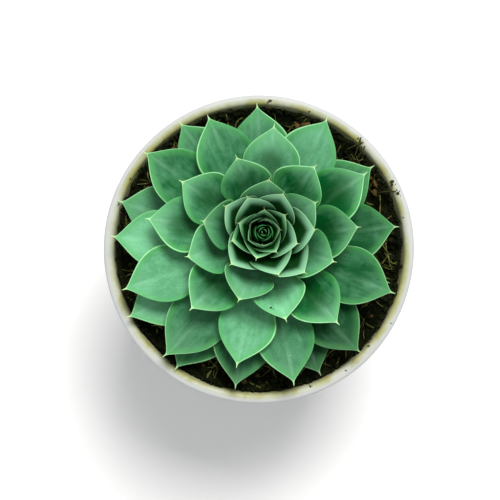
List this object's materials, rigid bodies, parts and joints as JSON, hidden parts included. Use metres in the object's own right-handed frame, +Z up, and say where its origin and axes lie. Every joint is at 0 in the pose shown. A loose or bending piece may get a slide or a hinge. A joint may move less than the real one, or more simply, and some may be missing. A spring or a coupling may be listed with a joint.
{
  "type": "potted succulent",
  "caption": "Rosette succulent with cupped, spine-tipped leaves, growing from a short stem in soil in a round tapered plastic pot.",
  "frame": {"origin": "middle of the pot's foot, on the surface it stands on", "axes": "+Z up along the pot's axis, +Y towards the side the rosette leans to, +X to the right of that"},
  "size_m": [0.12, 0.12, 0.137],
  "materials": {
    "pot": "satin",
    "soil": "matte",
    "stem": "matte",
    "bark": "matte",
    "leaf_outer": "satin",
    "leaf_middle": "satin",
    "leaf_inner": "satin",
    "leaf_bud": "satin"
  },
  "bodies": {
    "root": {"pot": "pot", "soil": "soil", "stem": "stem", "bark_chip": "bark", "growing_tip": "leaf_bud", "leaf_01": "leaf_outer", "leaf_02": "leaf_outer", "leaf_03": "leaf_outer", "leaf_04": "leaf_outer", "leaf_05": "leaf_outer", "leaf_06": "leaf_outer", "leaf_07": "leaf_outer", "leaf_08": "leaf_outer", "leaf_09": "leaf_outer", "leaf_10": "leaf_outer", "leaf_11": "leaf_outer", "leaf_12": "leaf_outer", "leaf_13": "leaf_outer", "leaf_14": "leaf_outer", "leaf_15": "leaf_outer", "leaf_16": "leaf_outer", "leaf_17": "leaf_outer", "leaf_18": "leaf_outer", "leaf_19": "leaf_outer", "leaf_20": "leaf_outer", "leaf_21": "leaf_middle", "leaf_22": "leaf_middle", "leaf_23": "leaf_middle", "leaf_24": "leaf_middle", "leaf_25": "leaf_middle", "leaf_26": "leaf_middle", "leaf_27": "leaf_middle", "leaf_28": "leaf_middle", "leaf_29": "leaf_middle", "leaf_30": "leaf_middle", "leaf_31": "leaf_middle", "leaf_32": "leaf_middle", "leaf_33": "leaf_middle", "leaf_34": "leaf_middle", "leaf_35": "leaf_middle", "leaf_36": "leaf_middle", "leaf_37": "leaf_inner", "leaf_38": "leaf_inner", "leaf_39": "leaf_inner", "leaf_40": "leaf_inner", "leaf_41": "leaf_inner", "leaf_42": "leaf_inner", "leaf_43": "leaf_inner", "leaf_44": "leaf_inner", "leaf_45": "leaf_bud", "leaf_46": "leaf_bud", "leaf_47": "leaf_bud", "leaf_48": "leaf_bud", "leaf_49": "leaf_bud", "leaf_50": "leaf_bud", "leaf_51": "leaf_bud", "leaf_52": "leaf_bud", "leaf_53": "leaf_bud", "leaf_54": "leaf_bud", "leaf_55": "leaf_bud"}
  },
  "joints": []
}
